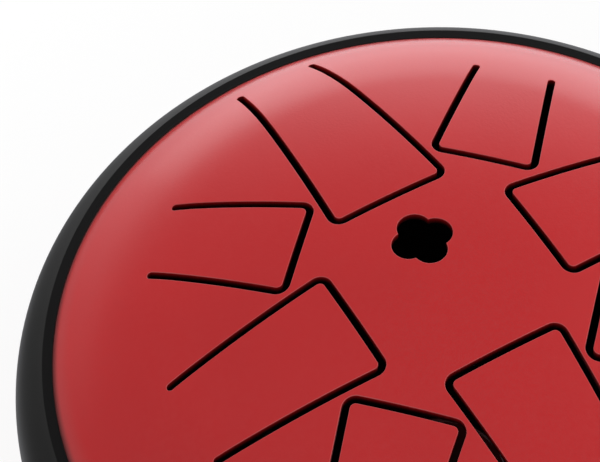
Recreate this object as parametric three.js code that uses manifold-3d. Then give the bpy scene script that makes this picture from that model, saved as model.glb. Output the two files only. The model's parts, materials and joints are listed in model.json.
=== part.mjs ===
// A steel tongue drum: two pressed shells, eight sounding tongues, a rubber rim ring and four feet.
// Millimetres, +Z up. The origin is on the surface the drum stands on, under its middle.
import * as THREE from 'three';
import { mergeVertices } from 'three/addons/utils/BufferGeometryUtils.js';
import Module from 'manifold-3d';

const wasm = await Module();
wasm.setup();

const DEG = Math.PI / 180;

// Upper shell. The lip is the circle where the rubber ring meets the dome.
const SHEET = 2.5;
const LIP_RADIUS = 108;
const LIP_ANGLE = 51.5;
const CROWN_RADIUS = 238;
const KNUCKLE_WIDTH = 34.6;
const RIM_OVERHANG = 4.4;
const SKIRT_HEIGHT = 4.4;
const FLANGE_WIDTH = 3.6;

// Slots and tongues. The tongues are numbered from the longest and measured in plan along the middle of the
// slot: from the middle of the drum to the tip, half the width at the tip, and from the root to the lip.
const SLOT_WIDTH = 2.15;
const TIP_CORNER = 1.5;
const ROOT_GAP = 0.3;
const TONGUE_1_TIP = 27.6;
const TONGUE_1_HALF_WIDTH = 17.5;
const TONGUE_1_ROOT = 11.4;
const TONGUE_2_TIP = 29.4;
const TONGUE_2_HALF_WIDTH = 17.2;
const TONGUE_2_ROOT = 13.3;
const TONGUE_3_TIP = 28.5;
const TONGUE_3_HALF_WIDTH = 16.0;
const TONGUE_3_ROOT = 23.0;
const TONGUE_4_TIP = 28.3;
const TONGUE_4_HALF_WIDTH = 16.5;
const TONGUE_4_ROOT = 31.3;
const TONGUE_5_TIP = 41.9;
const TONGUE_5_HALF_WIDTH = 15.6;
const TONGUE_5_ROOT = 21.5;
const TONGUE_6_TIP = 40.6;
const TONGUE_6_HALF_WIDTH = 14.9;
const TONGUE_6_ROOT = 25.8;
const TONGUE_7_TIP = 41.3;
const TONGUE_7_HALF_WIDTH = 14.2;
const TONGUE_7_ROOT = 27.8;
const TONGUE_8_TIP = 40.8;
const TONGUE_8_HALF_WIDTH = 14.6;
const TONGUE_8_ROOT = 28.7;

// Each tongue's bearing round the drum and how far each side draws in, in degrees
const TONGUES = [
  {
    bearing: 270.2,
    drawIn: 3.7,
    tip: TONGUE_1_TIP,
    halfWidth: TONGUE_1_HALF_WIDTH,
    rootToLip: TONGUE_1_ROOT,
  },
  {
    bearing: 89.7,
    drawIn: 4.7,
    tip: TONGUE_2_TIP,
    halfWidth: TONGUE_2_HALF_WIDTH,
    rootToLip: TONGUE_2_ROOT,
  },
  {
    bearing: 0.7,
    drawIn: 3.7,
    tip: TONGUE_3_TIP,
    halfWidth: TONGUE_3_HALF_WIDTH,
    rootToLip: TONGUE_3_ROOT,
  },
  {
    bearing: 180,
    drawIn: 4.2,
    tip: TONGUE_4_TIP,
    halfWidth: TONGUE_4_HALF_WIDTH,
    rootToLip: TONGUE_4_ROOT,
  },
  {
    bearing: 224.4,
    drawIn: 4.0,
    tip: TONGUE_5_TIP,
    halfWidth: TONGUE_5_HALF_WIDTH,
    rootToLip: TONGUE_5_ROOT,
  },
  {
    bearing: 316.5,
    drawIn: 4.5,
    tip: TONGUE_6_TIP,
    halfWidth: TONGUE_6_HALF_WIDTH,
    rootToLip: TONGUE_6_ROOT,
  },
  {
    bearing: 44.7,
    drawIn: 4.7,
    tip: TONGUE_7_TIP,
    halfWidth: TONGUE_7_HALF_WIDTH,
    rootToLip: TONGUE_7_ROOT,
  },
  {
    bearing: 135.3,
    drawIn: 4.4,
    tip: TONGUE_8_TIP,
    halfWidth: TONGUE_8_HALF_WIDTH,
    rootToLip: TONGUE_8_ROOT,
  },
];

// Sound hole: round lobes about a point off the middle of the crown
const HOLE_OFFSET = 12.6;
const HOLE_BEARING = 90;
const LOBE_COUNT = 4;
const LOBE_RADIUS = 4.7;
const LOBE_OFFSET = 4.1;

// Lower shell
const BOWL_SHEET = 2;
const BOWL_DEPTH = 56;
const BOWL_SWEEP = 40.4;
const PORT_RADIUS = 20;

// Seam and rim ring
const SEAM_GAP = 0.3;
const WELD_THROAT = 1.4;
const WELD_HEIGHT = 3.2;
const WELD_FACE = 1.2;
const RING_WALL = 2.3;
const RING_LIP_WIDTH = 2.7;
const RING_LIP_PROUD = 0.4;

// Feet and their fastenings
const FOOT_COUNT = 4;
const FOOT_FIRST_BEARING = 45;
const FOOT_WALL = 6.4;
const FOOT_TAPER = 1.5;
const FOOT_EDGE = 1;
const FOOT_MARGIN = 5;
const FOOT_WEB = 3.1;
const HEAD_RECESS = 1.6;
const SCREW_RADIUS = 2;
const SCREW_LENGTH = 12;
const SCREW_POINT = 0.6;
const HEAD_OVERHANG = 1.5;
const HEAD_HEIGHT = 2.4;
const HEAD_ROUND = 0.8;
const WASHER_OVERHANG = 0.8;
const WASHER_THICKNESS = 0.8;
const RIVET_WALL = 0.85;
const RIVET_FLANGE_WIDTH = 1.5;
const RIVET_FLANGE_THICKNESS = 0.8;
const RIVET_COLLAR_WIDTH = 1.3;
const RIVET_COLLAR_HEIGHT = 3;
const RIVET_TAIL = 3;

// Clearances: rubber or a drilled hole round metal, flat seats, and a screw in its thread
const FIT = 0.3;
const SEAT = 0.1;
const THREAD_FIT = 0.15;

// Facets round the drum and round the small turned pieces, and steps along the arcs
const DRUM_FACETS = 48;
const FOOT_FACETS = 16;
const SMALL_FACETS = 12;
const ARC_STEPS = 5;
const BEND_STEPS = 3;

const sine = (degrees) => Math.sin(degrees * DEG);
const cosine = (degrees) => Math.cos(degrees * DEG);
const tangent = (degrees) => Math.tan(degrees * DEG);

// Foot stack, from the ground up to the base of the bowl
const screwHeadRadius = SCREW_RADIUS + HEAD_OVERHANG;
const washerRadius = screwHeadRadius + WASHER_OVERHANG;
const threadBore = SCREW_RADIUS + THREAD_FIT;
const rivetBody = threadBore + RIVET_WALL;
const rivetFlange = rivetBody + RIVET_FLANGE_WIDTH;
const footRadius = washerRadius + FIT + FOOT_WALL;
const headTop = HEAD_RECESS + HEAD_HEIGHT;
const washerTop = headTop + SEAT + WASHER_THICKNESS;
const webBottom = washerTop + SEAT;
const webTop = webBottom + FOOT_WEB;
const footTop = webTop + SEAT + RIVET_FLANGE_THICKNESS;
const baseBottom = footTop + SEAT;
const baseTop = baseBottom + BOWL_SHEET;

// Shells, seam and ring
const seamHeight = baseBottom + BOWL_DEPTH;
const upperSeam = seamHeight + SEAM_GAP / 2;
const lowerSeam = seamHeight - SEAM_GAP / 2;
const skirtRadius = LIP_RADIUS + RIM_OVERHANG;
const flangeRadius = skirtRadius + FLANGE_WIDTH;
const crownEdge = LIP_RADIUS - KNUCKLE_WIDTH;
const crownAngle = Math.asin(crownEdge / CROWN_RADIUS) / DEG;
const knuckleRadius = KNUCKLE_WIDTH / (sine(LIP_ANGLE) - sine(crownAngle));
const rimBend = RIM_OVERHANG / (1 - sine(LIP_ANGLE));
const skirtTop = upperSeam + SHEET + SKIRT_HEIGHT;
const lipHeight = skirtTop + rimBend * cosine(LIP_ANGLE);
const crownFoot = lipHeight + knuckleRadius * (cosine(crownAngle) - cosine(LIP_ANGLE));
const topHeight = crownFoot + CROWN_RADIUS * (1 - cosine(crownAngle));
const bowlSkirt = lowerSeam - BOWL_SHEET - SKIRT_HEIGHT;
const bowlRise = bowlSkirt - baseBottom;
const baseRadius = skirtRadius - BOWL_SWEEP;
const footCircle = baseRadius - FOOT_MARGIN - footRadius;
const weldInner = flangeRadius + FIT;
const weldOuter = weldInner + WELD_THROAT;
const ringRadius = weldOuter + FIT + RING_WALL;

const redPaint = { color: 0xb02e32, roughness: 0.42, metalness: 0 };
const blackRubber = { color: 0x1c1c1c, roughness: 0.7, metalness: 0 };
const bareSteel = { color: 0xa4a6a8, roughness: 0.35, metalness: 1 };

const drum = new THREE.Group();

function addPiece(name, geometry, finish) {
  const piece = new THREE.Mesh(geometry, new THREE.MeshStandardMaterial(finish));
  piece.name = name;
  drum.add(piece);
  return piece;
}

// Turns a profile of [radius, height] points about the Z axis.
function turned(profile, facets) {
  const points = profile.map(([radius, height]) => new THREE.Vector2(radius, height));
  const geometry = new THREE.LatheGeometry(points, facets);
  geometry.rotateX(Math.PI / 2);
  return geometry;
}

// A turned piece with a bore: its profile runs back to its first point.
function turnedRing(profile, facets) {
  return turned([...profile, profile[0]], facets);
}

// Points of an arc in a profile. An angle of 0 is straight up from the centre and 90 is straight out.
function profileArc(centreRadius, centreHeight, arcRadius, fromAngle, toAngle, steps) {
  const points = [];
  for (let step = 0; step <= steps; step += 1) {
    const angle = fromAngle + ((toAngle - fromAngle) * step) / steps;
    points.push([centreRadius + arcRadius * sine(angle), centreHeight + arcRadius * cosine(angle)]);
  }
  return points;
}

function solidOf(geometry) {
  const bare = geometry.clone();
  bare.deleteAttribute('normal');
  bare.deleteAttribute('uv');
  const merged = mergeVertices(bare);
  const corners = merged.index.array;
  const triangles = [];
  for (let first = 0; first < corners.length; first += 3) {
    const [a, b, c] = corners.slice(first, first + 3);
    if (a !== b && b !== c && c !== a) triangles.push(a, b, c);
  }
  const vertProperties = new Float32Array(merged.attributes.position.array);
  const triVerts = new Uint32Array(triangles);
  return new wasm.Manifold(new wasm.Mesh({ numProp: 3, vertProperties, triVerts }));
}

function geometryOf(solid) {
  const mesh = solid.getMesh();
  const geometry = new THREE.BufferGeometry();
  geometry.setAttribute('position', new THREE.BufferAttribute(mesh.vertProperties, 3));
  geometry.setIndex(new THREE.BufferAttribute(mesh.triVerts, 1));
  geometry.computeVertexNormals();
  return geometry;
}

// The dome's curved side from the middle of the crown to the skirt, this far inside its outer face.
function domeSide(depth) {
  const knuckleCentre = crownEdge - knuckleRadius * sine(crownAngle);
  const knuckleLevel = lipHeight - knuckleRadius * cosine(LIP_ANGLE);
  const crown = profileArc(0, topHeight - CROWN_RADIUS, CROWN_RADIUS - depth, 0, crownAngle, ARC_STEPS);
  const knuckle = profileArc(
    knuckleCentre, knuckleLevel, knuckleRadius - depth, crownAngle, LIP_ANGLE, ARC_STEPS,
  );
  return [...crown, ...knuckle.slice(1), ...rimBendSide(depth).slice(1)];
}

// The bend from the lip down to the upright skirt.
function rimBendSide(depth) {
  return profileArc(skirtRadius - rimBend, skirtTop, rimBend - depth, LIP_ANGLE, 90, BEND_STEPS);
}

// A point of the bowl's elliptical side. An angle of 0 is at the flat base and 90 is at the skirt.
function bowlPoint(angle, depth) {
  const outward = new THREE.Vector2(bowlRise * sine(angle), -BOWL_SWEEP * cosine(angle)).normalize();
  const radius = baseRadius + BOWL_SWEEP * sine(angle);
  const height = baseBottom + bowlRise * (1 - cosine(angle));
  return [radius - depth * outward.x, height - depth * outward.y];
}

function bowlSide(depth, fromAngle, steps) {
  const points = [];
  for (let step = 0; step <= steps; step += 1) {
    points.push(bowlPoint(fromAngle + ((90 - fromAngle) * step) / steps, depth));
  }
  return points;
}

// A plan outline as an upright cutter that passes right through the dome.
function uprightCutter(shape, bearing) {
  const geometry = new THREE.ExtrudeGeometry(shape, {
    depth: topHeight,
    bevelEnabled: false,
    curveSegments: ARC_STEPS,
  });
  geometry.translate(0, 0, seamHeight);
  geometry.rotateZ(bearing * DEG);
  return solidOf(geometry);
}

// Plan sizes of one tongue, lying along +X: its root, and the centres of its two tip corners.
function tonguePlan(tongue) {
  const corner = TIP_CORNER + SLOT_WIDTH / 2;
  const halfWidthAt = (distance) => tongue.halfWidth - (distance - tongue.tip) * tangent(tongue.drawIn);
  return {
    corner,
    halfWidthAt,
    root: LIP_RADIUS - tongue.rootToLip,
    cornerX: tongue.tip + corner,
    cornerY: halfWidthAt(tongue.tip + corner) - corner / cosine(tongue.drawIn),
    sideAngle: (90 - tongue.drawIn) * DEG,
  };
}

// The slot: in along one side, across the tip and out along the other, with round ends.
function slotShape(tongue) {
  const { corner, halfWidthAt, root, cornerX, cornerY, sideAngle } = tonguePlan(tongue);
  const half = SLOT_WIDTH / 2;
  const rootY = halfWidthAt(root);
  const shape = new THREE.Shape();
  shape.absarc(cornerX, cornerY, corner + half, sideAngle, Math.PI, false);
  shape.absarc(cornerX, -cornerY, corner + half, Math.PI, 2 * Math.PI - sideAngle, false);
  shape.absarc(root, -rootY, half, -sideAngle, Math.PI - sideAngle, false);
  shape.absarc(cornerX, -cornerY, corner - half, 2 * Math.PI - sideAngle, Math.PI, true);
  shape.absarc(cornerX, cornerY, corner - half, Math.PI, sideAngle, true);
  shape.absarc(root, rootY, half, sideAngle - Math.PI, sideAngle, false);
  return shape;
}

// The tongue's window, bounded by the middle of its slot and by a line this far past its root.
function windowShape(tongue, pastRoot) {
  const { corner, halfWidthAt, root, cornerX, cornerY, sideAngle } = tonguePlan(tongue);
  const end = root + pastRoot;
  const shape = new THREE.Shape();
  shape.absarc(cornerX, cornerY, corner, sideAngle, Math.PI, false);
  shape.absarc(cornerX, -cornerY, corner, Math.PI, 2 * Math.PI - sideAngle, false);
  shape.lineTo(end, -halfWidthAt(end));
  shape.lineTo(end, halfWidthAt(end));
  return shape;
}

// The sound hole's outline: each lobe runs from its meeting with one neighbour to its meeting with the next.
function soundHoleShape() {
  const share = Math.PI / LOBE_COUNT;
  const reach = share + Math.asin((LOBE_OFFSET / LOBE_RADIUS) * Math.sin(share));
  const shape = new THREE.Shape();
  for (let lobe = 0; lobe < LOBE_COUNT; lobe += 1) {
    const facing = 2 * share * lobe;
    const x = HOLE_OFFSET + LOBE_OFFSET * Math.cos(facing);
    const y = LOBE_OFFSET * Math.sin(facing);
    shape.absarc(x, y, LOBE_RADIUS, facing - reach, facing + reach, false);
  }
  return shape;
}

// Upper shell and tongues, all cut from one pressed sheet
function addUpperShell() {
  const profile = [
    ...domeSide(SHEET),
    [skirtRadius - SHEET, upperSeam],
    [flangeRadius, upperSeam],
    [flangeRadius, upperSeam + SHEET],
    [skirtRadius, upperSeam + SHEET],
    ...domeSide(0).reverse(),
  ];
  let sheet = solidOf(turned(profile, DRUM_FACETS));
  sheet = sheet.subtract(uprightCutter(soundHoleShape(), HOLE_BEARING));
  for (const tongue of TONGUES) {
    sheet = sheet.subtract(uprightCutter(slotShape(tongue), tongue.bearing));
  }
  let shell = sheet;
  TONGUES.forEach((tongue, index) => {
    const blade = sheet.intersect(uprightCutter(windowShape(tongue, 0), tongue.bearing));
    addPiece(`tongue_${index + 1}`, geometryOf(blade), redPaint);
    shell = shell.subtract(uprightCutter(windowShape(tongue, ROOT_GAP), tongue.bearing));
  });
  addPiece('top_shell', geometryOf(shell), redPaint);
}

function footPlaces() {
  const places = [];
  for (let foot = 0; foot < FOOT_COUNT; foot += 1) {
    const bearing = FOOT_FIRST_BEARING + (360 * foot) / FOOT_COUNT;
    places.push([footCircle * cosine(bearing), footCircle * sine(bearing)]);
  }
  return places;
}

function addLowerShell() {
  const profile = [
    [PORT_RADIUS, baseBottom],
    ...bowlSide(0, 0, 2 * ARC_STEPS),
    [skirtRadius, lowerSeam - BOWL_SHEET],
    [flangeRadius, lowerSeam - BOWL_SHEET],
    [flangeRadius, lowerSeam],
    [skirtRadius - BOWL_SHEET, lowerSeam],
    ...bowlSide(BOWL_SHEET, 0, 2 * ARC_STEPS).reverse(),
    [PORT_RADIUS, baseTop],
  ];
  let bowl = solidOf(turnedRing(profile, DRUM_FACETS));
  for (const [x, y] of footPlaces()) {
    const drill = new THREE.CylinderGeometry(rivetBody + FIT, rivetBody + FIT, footTop, SMALL_FACETS);
    drill.rotateX(Math.PI / 2);
    drill.translate(x, y, baseBottom);
    bowl = bowl.subtract(solidOf(drill));
  }
  addPiece('bottom_shell', geometryOf(bowl), redPaint);
}

function addSeamWeld() {
  const profile = [
    [weldInner, seamHeight - WELD_HEIGHT / 2],
    [weldOuter, seamHeight - WELD_FACE / 2],
    [weldOuter, seamHeight + WELD_FACE / 2],
    [weldInner, seamHeight + WELD_HEIGHT / 2],
  ];
  addPiece('seam_weld', turnedRing(profile, DRUM_FACETS), bareSteel);
}

// One side of the ring's bulge: an arc from its widest line to the crease at a lip's outer edge.
function ringBulge(creaseRadius, creaseHeight) {
  const swell = ringRadius - creaseRadius;
  const rise = creaseHeight - seamHeight;
  const bulgeRadius = (rise * rise + swell * swell) / (2 * swell);
  const endAngle = 90 - Math.asin(rise / bulgeRadius) / DEG;
  return profileArc(ringRadius - bulgeRadius, seamHeight, bulgeRadius, 90, endAngle, ARC_STEPS);
}

// The ring grips both flanges in a groove and lies against both shells above and below it.
function addRimRing() {
  const [upperInner, upperLevel] = rimBendSide(-FIT)[0];
  const lipTop = lipHeight + RING_LIP_PROUD;
  const lipInner = upperInner - (lipTop - upperLevel) / tangent(LIP_ANGLE);
  const lowerLip = lowerSeam - (lipHeight - upperSeam);
  const lowerAngle = Math.acos(1 - (lowerLip - baseBottom) / bowlRise) / DEG;
  const lowerSide = bowlSide(-FIT, lowerAngle, BEND_STEPS);
  const [lowerInner, lowerLevel] = lowerSide[0];
  const grooveRadius = weldOuter + FIT;
  const profile = [
    ...ringBulge(lowerInner + RING_LIP_WIDTH, lowerLevel).reverse(),
    ...ringBulge(LIP_RADIUS + RING_LIP_WIDTH, lipTop).slice(1),
    [lipInner, lipTop],
    ...rimBendSide(-FIT),
    [skirtRadius + FIT, upperSeam + SHEET + FIT],
    [grooveRadius, upperSeam + SHEET + FIT],
    [grooveRadius, lowerSeam - BOWL_SHEET - FIT],
    [skirtRadius + FIT, lowerSeam - BOWL_SHEET - FIT],
    ...lowerSide.reverse(),
  ];
  addPiece('rim_ring', turnedRing(profile, DRUM_FACETS), blackRubber);
}

function footProfile() {
  const recess = washerRadius + FIT;
  const soleRadius = footRadius - FOOT_TAPER;
  return [
    [recess, 0],
    [soleRadius - FOOT_EDGE, 0],
    [soleRadius, FOOT_EDGE],
    [footRadius, footTop - FOOT_EDGE],
    [footRadius - FOOT_EDGE, footTop],
    [rivetFlange + FIT, footTop],
    [rivetFlange + FIT, webTop],
    [SCREW_RADIUS + FIT, webTop],
    [SCREW_RADIUS + FIT, webBottom],
    [recess, webBottom],
  ];
}

function washerProfile() {
  return [
    [SCREW_RADIUS + FIT, washerTop - WASHER_THICKNESS],
    [washerRadius, washerTop - WASHER_THICKNESS],
    [washerRadius, washerTop],
    [SCREW_RADIUS + FIT, washerTop],
  ];
}

function screwProfile() {
  const tip = headTop + SCREW_LENGTH;
  return [
    [0, HEAD_RECESS],
    [screwHeadRadius - HEAD_ROUND, HEAD_RECESS],
    [screwHeadRadius, HEAD_RECESS + HEAD_ROUND],
    [screwHeadRadius, headTop],
    [SCREW_RADIUS, headTop],
    [SCREW_RADIUS, tip - SCREW_POINT],
    [SCREW_RADIUS - SCREW_POINT, tip],
    [0, tip],
  ];
}

// The rivet nut's flange is outside the base and its collar is set against the inside.
function rivetNutProfile() {
  const collarBottom = baseTop + SEAT;
  const collarTop = collarBottom + RIVET_COLLAR_HEIGHT;
  return [
    [threadBore, footTop - RIVET_FLANGE_THICKNESS],
    [rivetFlange, footTop - RIVET_FLANGE_THICKNESS],
    [rivetFlange, footTop],
    [rivetBody, footTop],
    [rivetBody, collarBottom],
    [rivetBody + RIVET_COLLAR_WIDTH, collarBottom],
    [rivetBody, collarTop],
    [rivetBody, collarTop + RIVET_TAIL],
    [threadBore, collarTop + RIVET_TAIL],
  ];
}

function addFeet() {
  footPlaces().forEach(([x, y], index) => {
    const number = index + 1;
    const pieces = [
      addPiece(`foot_${number}`, turnedRing(footProfile(), FOOT_FACETS), blackRubber),
      addPiece(`foot_washer_${number}`, turnedRing(washerProfile(), SMALL_FACETS), bareSteel),
      addPiece(`foot_screw_${number}`, turned(screwProfile(), SMALL_FACETS), bareSteel),
      addPiece(`rivet_nut_${number}`, turnedRing(rivetNutProfile(), SMALL_FACETS), bareSteel),
    ];
    for (const piece of pieces) piece.position.set(x, y, 0);
  });
}

addUpperShell();
addLowerShell();
addSeamWeld();
addRimRing();
addFeet();

export default drum;
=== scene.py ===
"""Dresses a packed tongue drum: painted shells and tongues, rubber ring and feet, steel hardware."""
import json
import math

import bmesh
import bpy
import numpy as np
from bpy.props import FloatProperty, FloatVectorProperty, PointerProperty
from mathutils import Matrix, Vector
from mathutils.geometry import delaunay_2d_cdt


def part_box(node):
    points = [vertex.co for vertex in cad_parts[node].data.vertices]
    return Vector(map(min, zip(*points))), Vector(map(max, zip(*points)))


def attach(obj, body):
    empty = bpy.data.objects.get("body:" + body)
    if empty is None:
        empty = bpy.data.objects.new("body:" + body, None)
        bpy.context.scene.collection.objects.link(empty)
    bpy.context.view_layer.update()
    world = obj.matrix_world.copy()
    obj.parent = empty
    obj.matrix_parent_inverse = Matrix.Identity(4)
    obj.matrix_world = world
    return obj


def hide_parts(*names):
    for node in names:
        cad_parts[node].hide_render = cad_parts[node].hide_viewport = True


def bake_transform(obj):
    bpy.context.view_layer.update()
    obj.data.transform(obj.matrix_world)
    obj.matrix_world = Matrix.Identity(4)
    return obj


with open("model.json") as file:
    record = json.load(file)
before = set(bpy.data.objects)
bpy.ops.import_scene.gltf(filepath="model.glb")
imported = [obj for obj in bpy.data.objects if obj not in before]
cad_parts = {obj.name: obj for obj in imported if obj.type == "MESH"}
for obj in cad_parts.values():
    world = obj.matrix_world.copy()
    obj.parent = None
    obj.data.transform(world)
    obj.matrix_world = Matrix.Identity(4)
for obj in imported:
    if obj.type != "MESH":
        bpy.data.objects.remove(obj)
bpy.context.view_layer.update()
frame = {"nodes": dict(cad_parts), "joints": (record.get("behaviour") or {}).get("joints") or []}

bl_info = {
    "name": "Tongue drum",
    "version": (1, 0, 0),
    "blender": (4, 5, 0),
    "location": "3D View > Sidebar > Drum",
    "description": "Builds the looks of a steel tongue drum round its packed solids",
    "category": "Object",
}

BODY = "drum_body"
TONGUE_COUNT = 8
FOOT_COUNT = 4

# Millimetres in a metre, the sensor's width in millimetres and the camera's nearest view in metres
MILLIMETRES = 1000.0
SENSOR_WIDTH = 36.0
CLIP_START = 0.01

# Steps round the drum, round the small turned pieces, along an arc, over a cut's rounded edge
# and round a profile's corner
DRUM_FACETS = 240
SMALL_FACETS = 64
ARC_STEPS = 20
ROUND_STEPS = 3
EASED_STEPS = 4

# A corner's rounding takes less than half of each of its two sides
CORNER_SHARE = 0.49

# Spacing of the points inside the dome's sheet, in metres, and how far they stay from a cut, in
# their own spacing
DOME_SPACING = 0.0026
GRID_CLEARANCE = 0.55

# A length that counts as none and the shortest side of a profile, in metres
TINY = 1e-9
SHORTEST = 1e-6

# Flat triangles along a straight cut are smaller than this, in square metres
SLIVER_AREA = 1e-10

# A sheet piece's materials, by their place in its list
PAINT, INSIDE, CUT = range(3)
SHEET_FINISHES = ("satin_red_paint", "dark_inside_coat", "scorched_cut_wall")

# The other pieces' materials
RUBBER = "black_moulded_rubber"
STEEL = "zinc_grey_steel"
WELD = "heat_tinted_weld"


def setting(kind, **options):
    """A function that declares one kind of setting by its name, its description and its default."""

    def declare(name, description, *default):
        value = default if kind is FloatVectorProperty else default[0]
        return kind(name=name, description=description, default=value, **options)

    return declare


# Sizes and positions are in metres, powers in watts
length = setting(FloatProperty, unit="LENGTH", precision=5)
position = setting(FloatVectorProperty, unit="LENGTH", precision=4)
direction = setting(FloatVectorProperty, subtype="DIRECTION")
power = setting(FloatProperty, unit="POWER")
amount = setting(FloatProperty)


def turn(name, description, degrees):
    """An angle, given in degrees."""
    return FloatProperty(
        name=name, description=description, default=math.radians(degrees), subtype="ANGLE"
    )


def colour(name, description, red, green, blue):
    """A linear colour."""
    return FloatVectorProperty(
        name=name,
        description=description,
        default=(red, green, blue, 1.0),
        size=4,
        min=0.0,
        max=1.0,
        subtype="COLOR",
    )


class DrumShells(bpy.types.PropertyGroup):
    """Sizes of the two pressed shells, the slots and the weld."""

    sheet: length("Upper sheet", "Thickness of the upper shell", 0.0025)
    lip_radius: length("Lip radius", "Circle where the ring meets the dome", 0.108)
    lip_angle: turn("Lip angle", "Slope of the dome at the lip", 51.5)
    crown_radius: length("Crown radius", "Radius of the wide middle of the dome", 0.238)
    knuckle_width: length("Knuckle width", "Width in plan of the tighter outer curve", 0.0346)
    flange_width: length("Flange width", "How far each flange stands out at the seam", 0.0036)
    slot_width: length("Slot width", "Width of the slots round the tongues", 0.00215)
    tip_corner: length("Tip corner", "Corner radius of a tongue's tip", 0.0015)
    cut_rounding: length("Cut rounding", "Rounding of the painted edge of a cut", 0.0002)
    hole_offset: length("Hole offset", "Middle of the drum to the middle of the hole", 0.0126)
    lobe_radius: length("Lobe radius", "Radius of each lobe of the sound hole", 0.0047)
    lobe_offset: length("Lobe offset", "Middle of the hole to the middle of a lobe", 0.0041)
    bowl_sheet: length("Lower sheet", "Thickness of the lower shell", 0.002)
    base_radius: length("Base radius", "Radius of the flat base", 0.072)
    bowl_skirt: length("Bowl skirt", "Upright band of the bowl under its flange", 0.0044)
    port_radius: length("Port radius", "Radius of the opening in the base", 0.02)
    port_rounding: length("Port rounding", "Rounding of the opening's edge", 0.0004)
    ripple_pitch: length("Weld ripple", "Distance between the ripples of the weld", 0.0026)
    ripple_depth: length("Ripple depth", "Depth of the ripples of the weld", 0.00016)


class DrumRubber(bpy.types.PropertyGroup):
    """Sizes of the rim ring and the feet."""

    lip_width: length("Lip width", "Width of the ring's flat lip", 0.0027)
    crease: length("Crease", "Rounding of the ring's outer crease", 0.0005)
    lip_edge: length("Lip edge", "Rounding of the lip's edge at the dome", 0.00012)
    bulge_inset: length("Bulge inset", "How far the bulge stays inside the ring's room", 0.0006)
    bulge_round: length("Bulge rounding", "Radius of the bulge's shoulders", 0.0195)
    gap: length("Gap", "Clearance between rubber and metal", 0.0003)
    lip_gap: length("Lip gap", "Clearance between the ring's lip and the dome", 0.0001)
    foot_taper: length("Foot taper", "How far a foot narrows to its sole", 0.0015)
    foot_edge: length("Foot edge", "Rounding of a foot's edges", 0.0011)
    foot_web: length("Foot web", "Thickness of the web under the base", 0.0031)


class DrumHardware(bpy.types.PropertyGroup):
    """Sizes of the screws, washers and rivet nuts."""

    shank_radius: length("Shank radius", "Radius of a screw's shank", 0.002)
    screw_point: length("Screw point", "Chamfer at a screw's end", 0.0006)
    head_round: length("Head round", "Rounding of a screw's head", 0.0008)
    edge: length("Edge", "Rounding of the washers' and rivet nuts' edges", 0.00015)
    recess_reach: length("Recess reach", "Half the length of a cross recess", 0.0018)
    recess_half: length("Recess half width", "Half the width of a recess arm", 0.0005)
    recess_depth: length("Recess depth", "Depth of the cross recess", 0.0013)
    recess_draft: amount("Recess draft", "Size of the recess floor against its mouth", 0.72)
    rivet_wall: length("Rivet wall", "Wall of a rivet nut", 0.00085)
    thread_gap: length("Thread gap", "Clearance of a screw in its rivet nut", 0.00015)
    flange_thickness: length("Rivet flange", "Thickness of a rivet nut's flange", 0.0008)
    collar_width: length("Collar width", "How far the set collar stands out", 0.0013)
    collar_height: length("Collar height", "Height of the set collar", 0.003)
    seat: length("Seat", "Clearance between two flat seats", 0.0001)


class DrumFinish(bpy.types.PropertyGroup):
    """Colours and surfaces."""

    paint: colour("Paint", "Satin red paint", 0.56, 0.015, 0.017)
    # Painted shade: the paint is darkened beside the ring's lip, where the lip shades the dome
    lip_shade_width: length("Seam width", "Width of the shaded paint beside the ring's lip", 0.002)
    lip_painted_shade: amount("Seam shade", "How much darker the paint is right at the ring's lip", 0.8)
    # Painted reflection: a pale grey mixed into the paint beside the ring's lip, standing for the bright
    # surroundings mirrored there
    lip_veil: colour("Dust", "Dust on the paint beside the ring's lip", 0.42, 0.4, 0.4)
    lip_veil_share: amount("Dust share", "How much of the paint the dust hides at the lip", 0.09)
    lip_veil_width: length("Dust width", "How far the dust reaches from the ring's lip", 0.006)
    # Painted highlight: a pale pink on the rounded cut edges, as if they catch the light
    edge_highlight: colour("Paint edge", "Red paint where it thins over a cut edge", 0.58, 0.16, 0.16)
    # Painted shade: the walls of the cuts are given a dark red, as if deep in shadow
    cut: colour("Cut", "Thin scorched paint on the walls of the cuts", 0.075, 0.0014, 0.0018)
    # Painted shade: the inside of the shells is near-black, as if in shade
    inside: colour("Inside", "Dark coat on the inside of the shells", 0.012, 0.006, 0.006)
    rubber: colour("Rubber", "Black moulded rubber", 0.0058, 0.0058, 0.0056)
    # Painted light: a grey for the rubber's sides and crease, by the way they face
    rubber_side_light: colour("Worn rubber", "Rubber scuffed grey by handling", 0.024, 0.024, 0.023)
    steel: colour("Steel", "Zinc-grey steel", 0.55, 0.56, 0.57)
    weld: colour("Weld", "Heat-tinted weld metal", 0.3, 0.27, 0.24)
    paint_roughness: amount("Paint roughness", "Gloss of the paint, 0 is a mirror", 0.22)
    rubber_roughness: amount("Rubber roughness", "Gloss of the rubber, 0 is a mirror", 0.52)


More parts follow.
